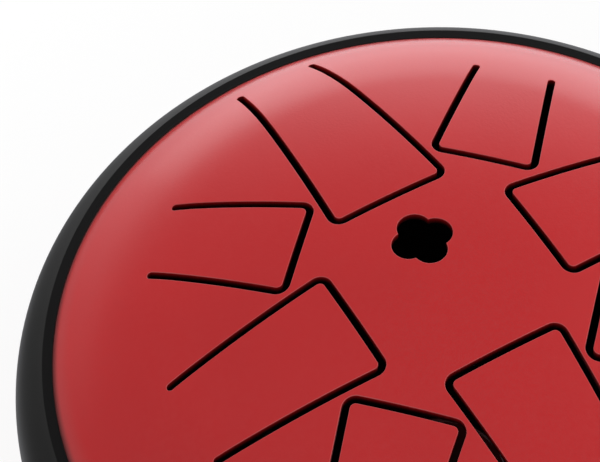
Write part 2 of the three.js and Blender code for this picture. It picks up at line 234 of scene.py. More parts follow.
class DrumStage(bpy.types.PropertyGroup):
    """Camera, floor and light."""

    lens: length("Lens", "Focal length over a sensor 36 mm wide, in metres", 0.156324)
    distance: length("Distance", "Camera to the middle of the lip circle", 0.716688)
    azimuth: turn("Azimuth", "Camera's bearing round the drum", -27.41)
    elevation: turn("Elevation", "Camera's height above the lip circle", 55.04)
    roll: turn("Roll", "Camera's roll", -2.55)
    aim_right: length("Aim right", "Camera's move to its right", -0.039657)
    aim_up: length("Aim up", "Camera's move upward in its picture", 0.030931)
    floor_half: length("Floor", "Half the floor's width", 4.0)
    floor: colour("Floor colour", "Pale floor", 0.972, 0.972, 0.972)
    floor_dark: colour("Floor shade", "Floor in the shade under the drum", 0.1, 0.1, 0.1)
    floor_glow: amount("Floor glow", "Share of the floor's white that takes no shadow", 0.92)
    base_reach: length("Base reach", "The base mirrors a plain floor inside this", 0.07)
    shade_inner: length("Shade inner", "The floor is in the drum's shade inside this", 0.09)
    shade_outer: length("Shade outer", "The floor is clear of the drum's shade outside this", 0.13)
    shade_beneath: amount("Shade beneath", "How much darker the shade is under the base", 0.8)
    near_inner: length("Near inner", "The mirrored floor is even inside this", 0.18)
    near_outer: length("Near outer", "The mirrored floor follows the backdrop outside this", 0.26)
    near_glow: amount("Near glow", "Brightness mirrored from the floor near the drum", 0.95)
    eye: length("Eye", "Height from which the mirrored floor is laid out", 0.09)
    fill: amount("Fill", "Even light from all round", 0.7)
    dusk: amount("Dusk", "Brightness mirrored from all round and overhead", 0.09)
    backdrop: amount("Backdrop", "Brightness added by the backdrop in reflections", 0.56)
    backdrop_tint: colour("Backdrop tint", "Cool tint of the mirrored light", 0.95, 0.95, 1.0)
    backdrop_spread: amount("Backdrop spread", "How sharply the backdrop darkens", 12.0)
    back_way: direction("Back way", "Direction of the backdrop's brightest part", 0.516, 0.857, 0.0)
    sweep: amount("Sweep", "Brightness added low down by the curved sweep", 1.26)
    sweep_spread: amount("Sweep spread", "How sharply the sweep darkens sideways", 2.73)
    sweep_level: amount("Sweep level", "Slope at which the sweep is brightest", -0.498)
    sweep_height: amount("Sweep height", "Slope over which the sweep darkens", 0.761)
    sweep_way: direction("Sweep way", "Direction of the sweep's brightest part", 0.634, 0.773, 0.0)


# Each lamp's kind, power, width, height and place
LAMPS = {
    "key": ("soft lamp high on the drum's right", 14.8, 1.2, 1.2, (1.444, -0.187, 1.306)),
    "back": ("low light panel behind the drum", 0.24, 0.6, 0.1, (0.228, 0.278, 0.11)),
    "side": ("low light panel at the drum's left", 0.42, 0.45, 0.08, (-0.109, 0.343, 0.09)),
    "under": ("light panel under the floor", 2.0, 0.6, 0.6, (0.0, 0.0, -0.45)),
    "sheen": ("light panel that the paint mirrors", 0.08, 0.65, 0.16, (0.208, 0.293, 0.085)),
}


def lamp_settings(lamp, kind, watts, width, height, place):
    """The settings of one lamp."""
    label = lamp.capitalize()
    return {
        f"{lamp}_power": power(f"{label} power", f"Power of the {kind}", watts),
        f"{lamp}_width": length(f"{label} width", f"Width of the {kind}", width),
        f"{lamp}_height": length(f"{label} height", f"Height of the {kind}", height),
        f"{lamp}_place": position(f"{label} place", f"Middle of the {kind}", *place),
    }


for lamp, values in LAMPS.items():
    DrumStage.__annotations__.update(lamp_settings(lamp, *values))


# Drum sections

class DomeSection:
    """The upper shell's pressed section: wide crown, tighter knuckle, bend down to the skirt."""

    def __init__(self, shells):
        low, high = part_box("top_shell")
        self.sheet = shells.sheet
        self.lip_radius = shells.lip_radius
        self.lip_angle = shells.lip_angle
        self.seam = low.z
        self.flange_radius = high.x
        self.skirt_radius = high.x - shells.flange_width
        crown = shells.crown_radius
        edge = shells.lip_radius - shells.knuckle_width
        crown_angle = math.asin(edge / crown)
        knuckle = shells.knuckle_width / (math.sin(self.lip_angle) - math.sin(crown_angle))
        bend = (self.skirt_radius - self.lip_radius) / (1 - math.sin(self.lip_angle))
        crown_level = high.z - crown
        knuckle_level = crown_level + (crown - knuckle) * math.cos(crown_angle)
        bend_level = knuckle_level + (knuckle - bend) * math.cos(self.lip_angle)
        self.lip_level = bend_level + bend * math.cos(self.lip_angle)
        self.arcs = [
            (0.0, crown_level, crown, crown_angle),
            (edge - knuckle * math.sin(crown_angle), knuckle_level, knuckle, self.lip_angle),
            (self.skirt_radius - bend, bend_level, bend, math.pi / 2),
        ]

    def face(self, plan, depth):
        """Points of the face this far inside the sheet's outer face, and its upward normals."""
        radius = np.hypot(plan[:, 0], plan[:, 1])
        height, outward, upward = (np.zeros(len(plan)) for _ in range(3))
        left = np.ones(len(plan), bool)
        for centre, level, arc_radius, end in self.arcs:
            size = arc_radius - depth
            here = left & (radius <= centre + size * math.sin(end) + TINY)
            outward[here] = np.clip((radius[here] - centre) / size, -1, 1)
            upward[here] = np.sqrt(1 - outward[here] ** 2)
            height[here] = level + size * upward[here]
            left &= ~here
        spoke = plan / np.maximum(radius, TINY)[:, None]
        normals = np.column_stack([spoke * outward[:, None], upward])
        return np.column_stack([plan, height]), normals

    def top(self, plan):
        """The painted outer face."""
        return self.face(plan, 0.0)

    def under(self, plan):
        """The inner face."""
        points, normals = self.face(plan, self.sheet)
        return points, -normals

    def bend_profile(self, depth, start):
        """Points of the bend from this angle down to the upright skirt."""
        centre, level, radius, end = self.arcs[-1]
        return arc_profile(centre, level, radius - depth, start, end, ARC_STEPS // 2)


class BaseSection:
    """The lower shell's section: flat base, elliptical side and upright skirt under the flange."""

    def __init__(self, shells, skirt_radius):
        low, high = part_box("bottom_shell")
        self.sheet = shells.bowl_sheet
        self.bottom = low.z
        self.seam = high.z
        self.base_radius = shells.base_radius
        self.sweep = skirt_radius - shells.base_radius
        self.rise = high.z - self.sheet - shells.bowl_skirt - low.z

    def level(self, plan, height, upward):
        """Points and normals of a level face."""
        return raised(plan, height), np.tile((0.0, 0.0, upward), (len(plan), 1))

    def top(self, plan):
        """The base's inner face."""
        return self.level(plan, self.bottom + self.sheet, 1.0)

    def under(self, plan):
        """The base's painted outer face."""
        return self.level(plan, self.bottom, -1.0)

    def side(self, depth, start):
        """Points of the side from this angle up to the skirt: 0 is at the base."""
        points = []
        for angle in np.linspace(start, math.pi / 2, 2 * ARC_STEPS):
            out = Vector((self.rise * math.sin(angle), -self.sweep * math.cos(angle)))
            out.normalize()
            radius = self.base_radius + self.sweep * math.sin(angle)
            height = self.bottom + self.rise * (1 - math.cos(angle))
            points.append((radius - depth * out.x, height - depth * out.y))
        return points

    def angle_at(self, height):
        """The side's angle at this height."""
        return math.acos(1 - (height - self.bottom) / self.rise)


def arc_profile(centre, level, radius, start, end, steps):
    """Profile points of an arc. An angle of 0 is straight up and a right angle is straight out."""
    return [
        (centre + radius * math.sin(angle), level + radius * math.cos(angle))
        for angle in np.linspace(start, end, steps + 1)
    ]


# Cut lines in plan

class CutLine:
    """A cut in plan: its line, the line where its rounded edge starts, and how deep that rounds."""

    def __init__(self, cut, inset, rounding):
        self.cut = np.array(cut)
        self.inset = np.array(inset)
        self.rounding = np.array(rounding)

    def turned(self, bearing):
        """The same cut swung round the drum."""
        cosine, sine = math.cos(bearing), math.sin(bearing)
        swing = np.array(((cosine, sine), (-sine, cosine)))
        return CutLine(self.cut @ swing, self.inset @ swing, self.rounding)


def stepped(start, end, spacing):
    """Points from start to end about this far apart."""
    start, end = np.array(start), np.array(end)
    steps = max(1, math.ceil(np.linalg.norm(end - start) / spacing))
    return [start + (end - start) * step / steps for step in range(steps + 1)]


def swept(centre, radius, start, end, steps):
    """Points of an arc in plan and the outward direction at each."""
    angles = np.linspace(start, end, steps + 1)
    ways = [np.array((math.cos(angle), math.sin(angle))) for angle in angles]
    return [np.array(centre) + radius * way for way in ways], ways


class TonguePlan:
    """One tongue's outline, measured on its solid. It lies along +X until it is swung round."""

    # Spacing of the points along an edge, steps round a tip's corner, depth of the root's end face
    SPACING = 0.0014
    CORNER_STEPS = 8
    ROOT_BAND = 1e-5

    def __init__(self, number, shells):
        self.number = number
        joints = {joint["name"]: joint for joint in frame["joints"]}
        self.pivot = Vector(joints[f"tongue_{number}_flex"]["pos_m"])
        self.bearing = math.atan2(self.pivot.y, self.pivot.x)
        self.slot = shells.slot_width
        self.tip_corner = shells.tip_corner
        self.rounding = shells.cut_rounding
        vertices = frame["nodes"][f"tongue_{number}"].data.vertices
        flat = np.array([vertex.co for vertex in vertices])[:, :2]
        cosine, sine = math.cos(self.bearing), math.sin(self.bearing)
        along = flat @ (cosine, sine)
        across = flat @ (-sine, cosine)
        self.tip = along.min()
        self.root = along.max()
        self.root_half = across[along > self.root - self.ROOT_BAND].max()
        widest = across.argmax()
        fall = across[widest] - self.root_half
        self.lean = math.atan2(fall, self.root - along[widest])
        corner_half = across[widest] - self.tip_corner * math.cos(self.lean)
        self.corner = np.array((self.tip + self.tip_corner, corner_half))

    def half_edge(self, blade):
        """One side of the slot from the root to the middle of the tip: points and ways into metal."""
        sign = -1 if blade else 1
        side = np.array((math.sin(self.lean), math.cos(self.lean)))
        radius = self.tip_corner if blade else self.tip_corner + self.slot
        points, ways = [np.array((self.root, self.root_half))], [np.array((0.0, -1.0))]
        if not blade:
            end = (self.root, self.root_half + self.slot / 2)
            quarter, steps = math.pi / 2, 2 * self.CORNER_STEPS
            points, ways = swept(end, self.slot / 2, -quarter, quarter - self.lean, steps)
        for point in stepped(points[-1], self.corner + radius * side, self.SPACING)[1:]:
            points.append(point)
            ways.append(sign * side)
        round_points, round_ways = swept(
            self.corner, radius, math.pi / 2 - self.lean, math.pi, self.CORNER_STEPS
        )
        points += round_points[1:]
        ways += [sign * way for way in round_ways[1:]]
        middle = (self.corner[0] - radius, 0.0)
        for point in stepped(points[-1], middle, self.SPACING)[1:]:
            points.append(point)
            ways.append(np.array((-float(sign), 0.0)))
        return points, ways

    def line(self, blade):
        """The whole cut on the blade's side or the shell's, closed along the root."""
        points, ways = self.half_edge(blade)
        mirror = np.array((1.0, -1.0))
        points += [point * mirror for point in points[-2::-1]]
        ways += [way * mirror for way in ways[-2::-1]]
        cut = list(points)
        inset = [point + way * self.rounding for point, way in zip(points, ways)]
        rounding = [self.rounding] * len(points)
        reach = self.root_half - self.rounding
        root = stepped((self.root, -reach), (self.root, reach), self.SPACING)[1:-1]
        return CutLine(cut + root, inset + root, rounding + [0.0] * len(root)).turned(self.bearing)

    def place(self, distance, height):
        """A point above the tongue's middle line."""
        return (distance * math.cos(self.bearing), distance * math.sin(self.bearing), height)


def round_cut(x, y, radius, rounding, steps):
    """A round hole."""
    cut = swept((x, y), radius, 0, 2 * math.pi, steps)[0][:-1]
    inset = swept((x, y), radius + rounding, 0, 2 * math.pi, steps)[0][:-1]
    return CutLine(cut, inset, [rounding] * len(cut))


def lobed_cut(shells, bearing):
    """The sound hole: four lobes, each from its meeting with one neighbour to the next."""
    lobes, steps = 4, 22
    share = math.pi / lobes

    def outline(radius):
        reach = share + math.asin(shells.lobe_offset / radius * math.sin(share))
        points = []
        for lobe in range(lobes):
            facing = 2 * share * lobe
            centre = (
                shells.hole_offset + shells.lobe_offset * math.cos(facing),
                shells.lobe_offset * math.sin(facing),
            )
            points += swept(centre, radius, facing - reach, facing + reach, steps)[0][:-1]
        return points

    cut = outline(shells.lobe_radius)
    inset = outline(shells.lobe_radius + shells.cut_rounding)
    return CutLine(cut, inset, [shells.cut_rounding] * len(cut)).turned(bearing)


# Meshes

class PieceMesh:
    """Points, normals and faces of one piece, gathered row by row before its mesh is made."""

    def __init__(self):
        self.points = []
        self.normals = []
        self.edges = []
        self.faces = []
        self.finishes = []

    def row(self, points, normals, edge=0.0):
        """Adds points and returns their numbers. Edge is 1 on the rounded edge of a cut."""
        first = len(self.points)
        self.points += [tuple(point) for point in points]
        self.normals += [tuple(normal) for normal in normals]
        self.edges += [edge] * len(points)
        return list(range(first, len(self.points)))

    def face(self, corners, finish=PAINT):
        """Adds a face, without repeated corners."""
        corners = list(dict.fromkeys(corners))
        if len(corners) > 2:
            self.faces.append(corners)
            self.finishes.append(finish)

    def strip(self, first, second, finish=PAINT):
        """Joins two closed rows of as many points."""
        for here in range(len(first)):
            there = (here + 1) % len(first)
            self.face((first[here], first[there], second[there], second[here]), finish)

    def build(self, name, materials, ride=True):
        """Makes the object, with its outside facing outward and its own normals."""
        used = sorted({corner for face in self.faces for corner in face})
        number = {old: new for new, old in enumerate(used)}
        mesh = bpy.data.meshes.new(name)
        faces = [[number[corner] for corner in face] for face in self.faces]
        mesh.from_pydata([self.points[old] for old in used], [], faces)
        mesh.polygons.foreach_set("material_index", self.finishes)
        bm = bmesh.new()
        bm.from_mesh(mesh)
        bmesh.ops.recalc_face_normals(bm, faces=bm.faces)
        bm.to_mesh(mesh)
        bm.free()
        for material in materials:
            mesh.materials.append(finish_material(material))
        mesh.shade_smooth()
        mesh.normals_split_custom_set_from_vertices([self.normals[old] for old in used])
        attribute = mesh.attributes.new("cut_edge", "FLOAT", "POINT")
        attribute.data.foreach_set("value", [self.edges[old] for old in used])
        piece = bpy.data.objects.new(name, mesh)
        bpy.context.scene.collection.objects.link(piece)
        if ride:
            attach(piece, BODY)
        return piece


def inside_loop(points, loop):
    """Which points lie inside a closed loop."""
    inside = np.zeros(len(points), bool)
    x, y = points[:, 0], points[:, 1]
    for (x0, y0), (x1, y1) in zip(loop, np.roll(loop, -1, axis=0)):
        if y0 == y1:
            continue
        crosses = (y0 > y) != (y1 > y)
        inside ^= crosses & (x < (x1 - x0) * (y - y0) / (y1 - y0) + x0)
    return inside


def within(points, loops):
    """Which points lie inside the first loop and outside the others."""
    kept = inside_loop(points, loops[0])
    for loop in loops[1:]:
        kept &= ~inside_loop(points, loop)
    return kept


def spread_points(loops, spacing):
    """Points on an even triangular grid within the loops, clear of their lines."""
    lines = np.concatenate(loops)
    low, high = loops[0].min(0), loops[0].max(0)
    rise = spacing * math.sqrt(3) / 2
    rows = []
    for number, y in enumerate(np.arange(low[1], high[1], rise)):
        x = np.arange(low[0] + (number % 2) * spacing / 2, high[0], spacing)
        rows.append(np.column_stack([x, np.full(len(x), y)]))
    grid = np.concatenate(rows)
    grid = grid[within(grid, loops)]
    nearest = np.full(len(grid), np.inf)
    for x, y in lines:
        nearest = np.minimum(nearest, np.hypot(grid[:, 0] - x, grid[:, 1] - y))
    return grid[nearest > GRID_CLEARANCE * spacing]


def fill_plan(loops, spacing):
    """Points of the loops and of a grid within them, and the triangles that join them."""
    plan = np.concatenate([*loops, spread_points(loops, spacing)])
    edges, first = [], 0
    for loop in loops:
        count = len(loop)
        edges += [(first + step, first + (step + 1) % count) for step in range(count)]
        first += count
    points = [Vector(point * MILLIMETRES) for point in plan]
    all_triangles, nearness = 0, 1e-6
    found = delaunay_2d_cdt(points, edges, [], all_triangles, nearness)
    vertices, _, triangles, sources = found[:4]
    if len(vertices) != len(plan):
        raise RuntimeError("the cuts of a sheet cross or touch")
    source = [numbers[0] for numbers in sources]
    triangles = np.array([[source[corner] for corner in triangle] for triangle in triangles])
    corners = plan[triangles]
    sides = corners[:, 1:] - corners[:, :1]
    areas = np.abs(np.linalg.det(sides)) / 2
    return plan, triangles[within(corners.mean(axis=1), loops) & (areas > SLIVER_AREA)]


def fill_sheet(mesh, section, outline, cuts, spacing, faces, edges):
    """Both faces of a sheet with cuts in it. Returns the outline's rows on the two faces."""
    plan, triangles = fill_plan([outline, *(cut.inset for cut in cuts)], spacing)
    top = mesh.row(*section.top(plan))
    under = mesh.row(*section.under(plan))
    for triangle in triangles:
        mesh.face([top[corner] for corner in triangle], faces[0])
        mesh.face([under[corner] for corner in reversed(triangle)], faces[1])
    first = len(outline)
    for cut in cuts:
        last = first + len(cut.inset)
        cut_wall(mesh, section, cut, top[first:last], under[first:last], edges)
        first = last
    return top[: len(outline)], under[: len(outline)]


def cut_wall(mesh, section, line, top, under, finishes):
    """The wall of a cut, with both of its edges rounded. It is plain where nothing rounds it."""
    offset = line.inset - line.cut
    size = np.maximum(np.linalg.norm(offset, axis=1), TINY)
    outward = np.column_stack([-offset / size[:, None], np.zeros(len(size))])
    flat = line.rounding == 0
    ends = []
    for face, shared, finish in zip((section.top, section.under), (top, under), finishes):
        last = shared
        for step in range(1, ROUND_STEPS + 1):
            angle = math.pi / 2 * step / ROUND_STEPS
            points, normals = face(line.cut + offset * (1 - math.sin(angle)))
            drop = line.rounding * (1 - math.cos(angle))
            points[:, 2] -= drop * np.sign(normals[:, 2])
            normals = normals * math.cos(angle) + outward * math.sin(angle)
            made = mesh.row(points, normals, 1.0 if finish == PAINT else 0.0)
            rounded = [old if plain else new for old, new, plain in zip(shared, made, flat)]
            mesh.strip(last, rounded, finish)
            last = rounded
        ends.append(last)
    mesh.strip(*ends, CUT)


def circle(radius, facets):
    """A round outline in plan."""
    return np.array(swept((0, 0), radius, 0, 2 * math.pi, facets)[0][:-1])


def raised(plan, height):
    """Points of a plan at one height."""
    return np.column_stack([plan, np.full(len(plan), height)])


def profile_normals(profile, closed):
    """Outward normals of a profile that runs anticlockwise, led by the longer side at each point."""
    points = np.array(profile)
    forward = np.roll(points, -1, axis=0) - points
    if not closed:
        forward[-1] = forward[-2]
    sides = np.column_stack([forward[:, 1], -forward[:, 0]])
    before = np.roll(sides, 1, axis=0)
    if not closed:
        before[0] = sides[0]
    normals = sides * np.linalg.norm(sides, axis=1)[:, None]
    normals += before * np.linalg.norm(before, axis=1)[:, None]
    return normals / np.maximum(np.linalg.norm(normals, axis=1), SHORTEST ** 2)[:, None]


def ring_row(mesh, radius, height, facets, normal=(0.0, 0.0), centre=(0.0, 0.0)):
    """A level circle of points. Where it has no normal, the faces beside it set one."""
    outline = circle(1.0, facets)
    return mesh.row(raised(outline * radius + centre, height), raised(outline * normal[0], normal[1]))


def join_faces(mesh, top, profile, under, painted_from=0):
    """Joins a sheet's faces round the drum along a profile, which is painted from this step on."""
    rings = [ring_row(mesh, radius, height, DRUM_FACETS) for radius, height in profile]
    rows = [top, *rings, under]
    for number, (first, second) in enumerate(zip(rows, rows[1:])):
        mesh.strip(first, second, PAINT if number >= painted_from else INSIDE)


def turned_rows(mesh, profile, facets, centre, closed):
    """Rows of a piece turned about an upright line, joined side by side."""
    normals = profile_normals(profile, closed)
    rows = [
        ring_row(mesh, radius, height, facets, normal, centre)
        for (radius, height), normal in zip(profile, normals)
    ]
    for first, second in zip(rows, rows[1:]):
        mesh.strip(first, second)
    if closed:
        mesh.strip(rows[-1], rows[0])
    return rows


def turned_mesh(corners, facets, centre=(0.0, 0.0)):
    """A ring turned about an upright line, from the corners of its section."""
    mesh = PieceMesh()
    turned_rows(mesh, eased(corners), facets, centre, True)
    return mesh


def even_corners(points, rounding=0.0):
    """Corners of a section that are all rounded alike, or left sharp."""
    return [(radius, height, rounding) for radius, height in points]


def eased(corners):
    """A closed profile whose corners, each (radius, height, rounding), are rounded."""
    profile = []
    places = [Vector(corner[:2]) for corner in corners]
    for number, (radius, height, rounding) in enumerate(corners):
        corner = places[number]
        before = places[number - 1] - corner
        after = places[(number + 1) % len(places)] - corner
        opening = before.angle(after)
        run = rounding / math.tan(opening / 2)
        run = min(run, CORNER_SHARE * before.length, CORNER_SHARE * after.length)
        if run < SHORTEST:
            profile.append((radius, height))
            continue
        start = corner + before.normalized() * run
        end = corner + after.normalized() * run
        reach = run / math.cos(opening / 2)
        centre = corner + (before.normalized() + after.normalized()).normalized() * reach
        for step in range(EASED_STEPS + 1):
            way = (start - centre).lerp(end - centre, step / EASED_STEPS).normalized()
            point = centre + way * (start - centre).length
            profile.append((point.x, point.y))
    return profile


# Materials

def both_ways(operation):
    """A wire's operator and its reflected form, as Math nodes."""
    return (
        lambda wire, other: wire.sum(operation, wire, other),
        lambda wire, other: wire.sum(operation, other, wire),
    )


class Wire:
    """An output socket of a material. Sums with it add Math nodes; its method adds any other node."""

    __add__, __radd__ = both_ways("ADD")
    __sub__, __rsub__ = both_ways("SUBTRACT")
    __mul__, __rmul__ = both_ways("MULTIPLY")
    __truediv__, __rtruediv__ = both_ways("DIVIDE")

    def __init__(self, tree, socket=None):
        self.tree = tree
        self.socket = socket

    def node(self, kind, settings=None, sockets=None, output=0):
        """Adds a node: its settings first, then the values or links of its sockets."""
        made = self.tree.nodes.new(kind)
        for name, value in (settings or {}).items():
            if name == "stops":
                self.set_stops(made.color_ramp.elements, value)
            else:
                setattr(made, name, value)
        for name, value in (sockets or {}).items():
            if isinstance(value, Wire):
                self.tree.links.new(value.socket, made.inputs[name])
            else:
                made.inputs[name].default_value = value
        return Wire(self.tree, made.outputs[output] if made.outputs else None)

    @staticmethod
    def set_stops(elements, stops):
        """Sets a ramp's stops, each a place and a grey level."""
        while len(elements) < len(stops):
            elements.new(1.0)
        for element, (place, level) in zip(elements, stops):
            element.position = place
            element.color = (level, level, level, 1.0)

    def sum(self, operation, first, second):
        """A Math node."""
        return self.node("ShaderNodeMath", {"operation": operation}, {0: first, 1: second})


def new_material(name):
    """An empty node material and a wire to build it with."""
    material = bpy.data.materials.new(name)
    material.use_nodes = True
    material.node_tree.nodes.clear()
    return material, Wire(material.node_tree)


def object_place(wire):
    """The shaded point in its object's own frame."""
    return wire.node("ShaderNodeTexCoord", output="Object")


def height_of(wire, vector):
    """The upward part of a vector."""
    return wire.node("ShaderNodeSeparateXYZ", {}, {0: vector}, output="Z")


def vectors(wire, operation, first, second=(0, 0, 0)):
    """A Vector Math node. A length and a dot product are plain values."""
    output = "Value" if operation in ("LENGTH", "DOT_PRODUCT") else "Vector"
    return wire.node("ShaderNodeVectorMath", {"operation": operation}, {0: first, 1: second}, output)


def noise(wire, scale, detail=2.0, roughness=0.5, place=None):
    """Smooth noise over the object, about 0.5, with this many features a metre."""
    return wire.node(
        "ShaderNodeTexNoise",
        {"noise_dimensions": "3D"},
        {
            "Vector": place or object_place(wire),
            "Scale": scale,
            "Detail": detail,
            "Roughness": roughness,
        },
    )


def streaks(wire, across, upward):
    """Stretched noise, with this many features a metre across and upward."""
    scale = (across, across, upward)
    place = wire.node("ShaderNodeMapping", {}, {"Vector": object_place(wire), "Scale": scale})
    return noise(wire, scale=1.0, place=place)


def ranging(value, low, high):
    """A value that runs from low to high while the given one runs from 0 to 1."""
    return low + (high - low) * value


def smooth_step(wire, value, start, end):
    """A smooth step from 0 to 1."""
    return wire.node(
        "ShaderNodeMapRange",
        {"interpolation_type": "SMOOTHSTEP"},
        {"Value": value, "From Min": start, "From Max": end},
    )


def shaded(wire, base, change):
    """A colour, plain or wired, made lighter or darker by a value about 1."""
    level = wire.node("ShaderNodeCombineXYZ", {}, {0: change, 1: change, 2: change})
    plain = base if isinstance(base, Wire) else tuple(base)[:3]
    return vectors(wire, "MULTIPLY", plain, level)


def mixed(wire, factor, first, second):
    """A mix of two colours. A Mix node's colour sockets share their names, so they go by number."""
    colour_a, colour_b, colour_result = 6, 7, 2
    sockets = {"Factor": factor, colour_a: first, colour_b: second}
    return wire.node("ShaderNodeMix", {"data_type": "RGBA"}, sockets, colour_result)


def either(wire, share, first, second):
    """A mix of two shaders."""
    return wire.node("ShaderNodeMixShader", {}, {0: share, 1: first, 2: second})


def diffuse(wire, shade):
    """A matte shader of this colour."""
    return wire.node("ShaderNodeBsdfDiffuse", {}, {"Color": shade})


def ray(wire, kind):
    """1 for a ray of this kind, 0 for any other."""
    return wire.node("ShaderNodeLightPath", output=f"Is {kind} Ray")


def bumped(wire, height, strength, distance):
    """A normal disturbed by a height."""
    return wire.node(
        "ShaderNodeBump", {}, {"Height": height, "Strength": strength, "Distance": distance}
    )


def cut_edge(wire):
    """Over the wall of a cut this falls from 1 at its painted edge to 0 at the other."""
    return wire.node("ShaderNodeAttribute", {"attribute_name": "cut_edge"}, output="Fac")


def seam(wire, width):
    """The paint of the dome beside the ring's lip: 1 at the lip, 0 from this width on."""
    shells = bpy.context.scene.drum_shells
    place = object_place(wire)
    reach = vectors(wire, "LENGTH", vectors(wire, "MULTIPLY", place, (1, 1, 0)))
    near = smooth_step(wire, reach, shells.lip_radius - width, shells.lip_radius)
    return near * wire.sum("GREATER_THAN", height_of(wire, place), DomeSection(shells).seam)


def satin_paint(wire, finish):
    """Satin red paint: slight blotches, fine orange peel, a painted highlight on the cut edges, painted
    shade at the ring's lip and a pale painted reflection beside it.
    """
    blotch = noise(wire, scale=34.0, detail=3.0)
    grain = noise(wire, scale=620.0)
    peel = noise(wire, scale=1400.0, detail=1.0)
    # Painted shade: the paint darkens towards the ring's lip
    shade = 1 - finish.lip_painted_shade * seam(wire, finish.lip_shade_width)
    tone = (ranging(blotch, 0.94, 1.03) + ranging(grain, 0.0, 0.03)) * shade
    # Painted reflection: pale grey mixed into the paint beside the ring's lip
    veil_share = finish.lip_veil_share * seam(wire, finish.lip_veil_width)
    veiled = mixed(wire, veil_share, shaded(wire, finish.paint, tone), tuple(finish.lip_veil))
    # Painted highlight: the rounded cut edges turn pale pink
    edge_highlight_share = cut_edge(wire) * ranging(blotch, 0.25, 0.75)
    rough = finish.paint_roughness
    return {
        "Base Color": mixed(wire, edge_highlight_share, veiled, tuple(finish.edge_highlight)),
        "Roughness": ranging(grain, rough - 0.06, rough + 0.06),
        "IOR": 1.6,
        "Specular IOR Level": 1.0,
        "Normal": bumped(wire, peel, strength=0.12, distance=0.0002),
    }


def shaded_inside(wire, finish):
    """The dull inside of the shells, near-black as painted shade."""
    cloud = noise(wire, scale=60.0, detail=3.0)
    return {
        "Base Color": shaded(wire, finish.inside, ranging(cloud, 0.7, 1.3)),
        "Roughness": ranging(cloud, 0.75, 0.9),
        "Specular IOR Level": 0.2,
        "Normal": bumped(wire, noise(wire, scale=900.0), strength=0.15, distance=0.0002),
    }


def shaded_cut_wall(wire, finish):
    """The walls of the cuts: fine upright marks of the cutting, dark as painted shade and lighter towards
    the painted edge as painted light.
    """
    marks = streaks(wire, across=2400.0, upward=160.0)
    edge = cut_edge(wire)
    # Painted light and shade: the wall is brightest at its painted edge and darkest at the other face
    tone = ranging(marks, 0.6, 1.4) * ranging(edge * edge, 0.3, 4.8)
    return {
        "Base Color": shaded(wire, finish.cut, tone),
        "Roughness": ranging(marks, 0.6, 0.8),
        "Specular IOR Level": 0.04,
        "Normal": bumped(wire, marks, strength=0.3, distance=0.0001),
    }


def moulded_rubber(wire, finish):
    """Matte black rubber: fine moulded grain and faint bloom, with painted light greying its sides and
    crease.
    """
    bloom = noise(wire, scale=26.0, detail=4.0, roughness=0.6)
    grain = noise(wire, scale=2600.0)
    upward = height_of(wire, wire.node("ShaderNodeNewGeometry", output="Normal"))
    # Painted light: how grey the rubber is, by how far its surface faces upward; the crease is lightest
    # and the lip stays black
    stops = [(0.0, 0.75), (0.78, 0.75), (0.87, 1.0), (0.96, 0.0)]
    side_light_share = wire.node("ShaderNodeValToRGB", {"stops": stops}, {0: upward})
    side_lit = mixed(wire, side_light_share, tuple(finish.rubber), tuple(finish.rubber_side_light))
    tone = ranging(bloom, 0.75, 1.15) + ranging(grain, 0.0, 0.1)
    rough = finish.rubber_roughness
    return {
        "Base Color": shaded(wire, side_lit, tone),
        "Roughness": ranging(bloom, rough - 0.06, rough + 0.06),
        "Specular IOR Level": 0.42,
        "Normal": bumped(wire, grain, strength=0.2, distance=0.00012),
    }


def turned_steel(wire, finish):
    """Zinc-grey steel with fine turning marks."""
    marks = streaks(wire, across=400.0, upward=9000.0)
    cloud = noise(wire, scale=300.0, detail=3.0)
    tone = ranging(marks, 0.85, 1.05) + ranging(cloud, 0.0, 0.1)
    return {
        "Base Color": shaded(wire, finish.steel, tone),
        "Metallic": 1.0,
        "Roughness": ranging(cloud, 0.26, 0.42),
        "Normal": bumped(wire, marks, strength=0.1, distance=0.0001),
    }


def weld_metal(wire, finish):
    """Heat-tinted weld metal."""
    tint = noise(wire, scale=90.0, detail=3.0)
    return {
        "Base Color": shaded(wire, finish.weld, ranging(tint, 0.6, 1.4)),
        "Metallic": 1.0,
        "Roughness": ranging(tint, 0.35, 0.55),
        "Normal": bumped(wire, noise(wire, scale=1500.0), strength=0.2, distance=0.0001),
    }


SURFACES = {
    **dict(zip(SHEET_FINISHES, (satin_paint, shaded_inside, shaded_cut_wall))),
    RUBBER: moulded_rubber,
    STEEL: turned_steel,
    WELD: weld_metal,
}


def finish_material(name):
    """The material of this name, made once, with its surface as its output."""
    material = bpy.data.materials.get(name)
    if material is None:
        material, wire = new_material(name)
        sockets = SURFACES[name](wire, bpy.context.scene.drum_finish)
        shader = wire.node("ShaderNodeBsdfPrincipled", {}, sockets)
        wire.node("ShaderNodeOutputMaterial", {}, {"Surface": shader})
    return material


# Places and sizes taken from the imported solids

def half_width(node):
    """Half the width of a node's solid."""
    low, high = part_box(node)
    return (high.x - low.x) / 2


def foot_places():
    """The middle of each foot in plan."""
    boxes = [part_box(f"foot_{number}") for number in range(1, FOOT_COUNT + 1)]
    return [tuple((low + high).xy / 2) for low, high in boxes]


def lip_middle(context):
    """The middle of the circle where the ring meets the dome."""
    return Vector((0, 0, DomeSection(context.scene.drum_shells).lip_level))


# Operators

